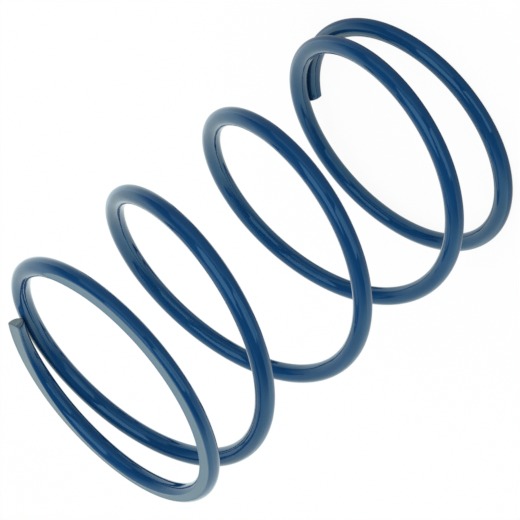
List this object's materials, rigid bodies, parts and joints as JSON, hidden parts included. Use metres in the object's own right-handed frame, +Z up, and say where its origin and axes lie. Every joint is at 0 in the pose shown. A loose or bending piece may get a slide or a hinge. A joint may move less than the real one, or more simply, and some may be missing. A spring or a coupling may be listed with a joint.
{
  "type": "torque spring",
  "caption": "Left-hand compression coil of round painted wire with closed, ground-flat ends; it presses a scooter clutch's driven pulley halves together.",
  "frame": {"origin": "middle of the lower ground seat, on the coil axis", "axes": "+Z up along the coil axis, +X through the lower wire tip"},
  "size_m": [0.0568, 0.057, 0.09],
  "materials": {
    "blue_paint": "gloss blue paint on spring steel wire"
  },
  "bodies": {
    "root": {"spring": "blue_paint"}
  },
  "joints": []
}
